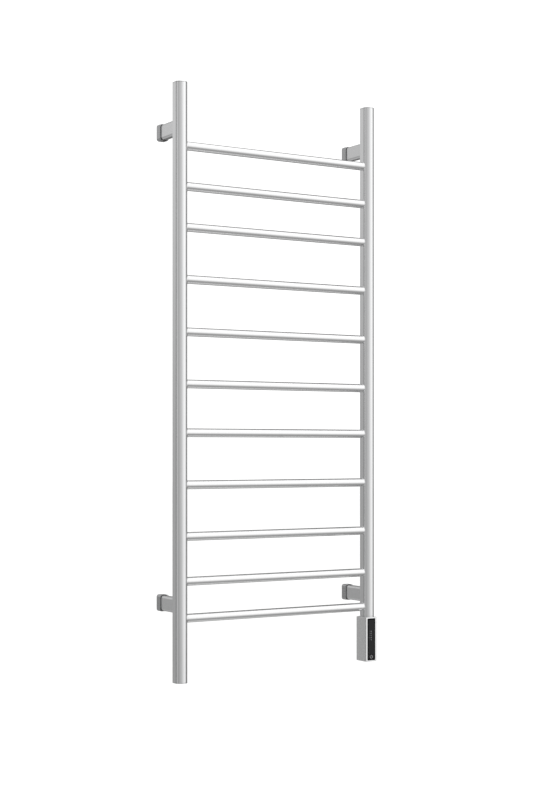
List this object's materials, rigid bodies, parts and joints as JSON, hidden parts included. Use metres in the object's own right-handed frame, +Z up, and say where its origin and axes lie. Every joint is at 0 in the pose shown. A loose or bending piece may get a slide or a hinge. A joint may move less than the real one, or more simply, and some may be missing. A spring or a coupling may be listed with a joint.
{
  "type": "towel warmer rack",
  "caption": "Wall-hung ladder towel warmer with D-section uprights, round steel rails, telescopic wall brackets and a slim control head with a push button.",
  "frame": {"origin": "on the wall plane, midway between the uprights and level with the foot of the left upright", "axes": "+Z up, +Y towards the wall, +X to the right of someone facing the wall, towards the control head"},
  "size_m": [0.604, 0.121, 1.496],
  "materials": {
    "satin_steel": "fine satin stainless steel",
    "polished_steel": "polished stainless steel tube",
    "socket_metal": "satin cast steel",
    "fastener_steel": "bright machine screw",
    "head_silver": "satin silver die casting",
    "black_glass": "gloss black",
    "light_guide": "clear frosted",
    "board_green": "solder mask",
    "black_plastic": "moulded black",
    "relay_blue": "moulded blue",
    "pale_plastic": "moulded pale grey",
    "brass": "machined brass",
    "rubber": "black rubber"
  },
  "bodies": {
    "wall_mounts": {"wall_socket_top_left": "socket_metal", "wall_socket_top_right": "socket_metal", "wall_socket_low_left": "socket_metal", "wall_socket_low_right": "socket_metal"},
    "rack": {"left_upright": "satin_steel", "right_upright": "satin_steel", "left_top_cap": "satin_steel", "right_top_cap": "satin_steel", "left_foot_cap": "satin_steel", "right_foot_plug": "satin_steel", "arm_top_left": "satin_steel", "arm_top_right": "satin_steel", "arm_low_left": "satin_steel", "arm_low_right": "satin_steel", "rail_01": "polished_steel", "rail_02": "polished_steel", "rail_03": "polished_steel", "rail_04": "polished_steel", "rail_05": "polished_steel", "rail_06": "polished_steel", "rail_07": "polished_steel", "rail_08": "polished_steel", "rail_09": "polished_steel", "rail_10": "polished_steel", "rail_11": "polished_steel", "heating_element": "polished_steel", "temperature_probe": "polished_steel", "arm_boss_top_left": "fastener_steel", "arm_boss_top_right": "fastener_steel", "arm_boss_low_left": "fastener_steel", "arm_boss_low_right": "fastener_steel", "arm_bolt_top_left": "fastener_steel", "arm_bolt_top_right": "fastener_steel", "arm_bolt_low_left": "fastener_steel", "arm_bolt_low_right": "fastener_steel", "lock_screw_top_left": "fastener_steel", "lock_screw_top_right": "fastener_steel", "lock_screw_low_left": "fastener_steel", "lock_screw_low_right": "fastener_steel", "cover_screw_low": "fastener_steel", "cover_screw_top": "fastener_steel", "control_housing": "head_silver", "housing_back_cover": "head_silver", "touch_panel": "black_glass", "indicator_light_1": "light_guide", "indicator_light_2": "light_guide", "indicator_light_3": "light_guide", "indicator_light_4": "light_guide", "indicator_light_5": "light_guide", "circuit_board": "board_green", "button_switch": "black_plastic", "power_supply": "black_plastic", "relay": "relay_blue", "terminal_block": "pale_plastic", "element_fitting": "brass", "sealing_ring": "rubber", "cable_inlet": "rubber"},
    "power_button": {"power_button": "black_glass"}
  },
  "joints": [
    {"name": "standoff_slide", "type": "slide", "parent": "wall_mounts", "child": "rack", "axis": [0, -1, 0], "range_m": [0, 0.01]},
    {"name": "power_press", "type": "slide", "parent": "rack", "child": "power_button", "axis": [0, 1, 0], "range_m": [0, 0.0008], "stiffness_N_per_m": 1500, "springref_m": -0.0005}
  ]
}
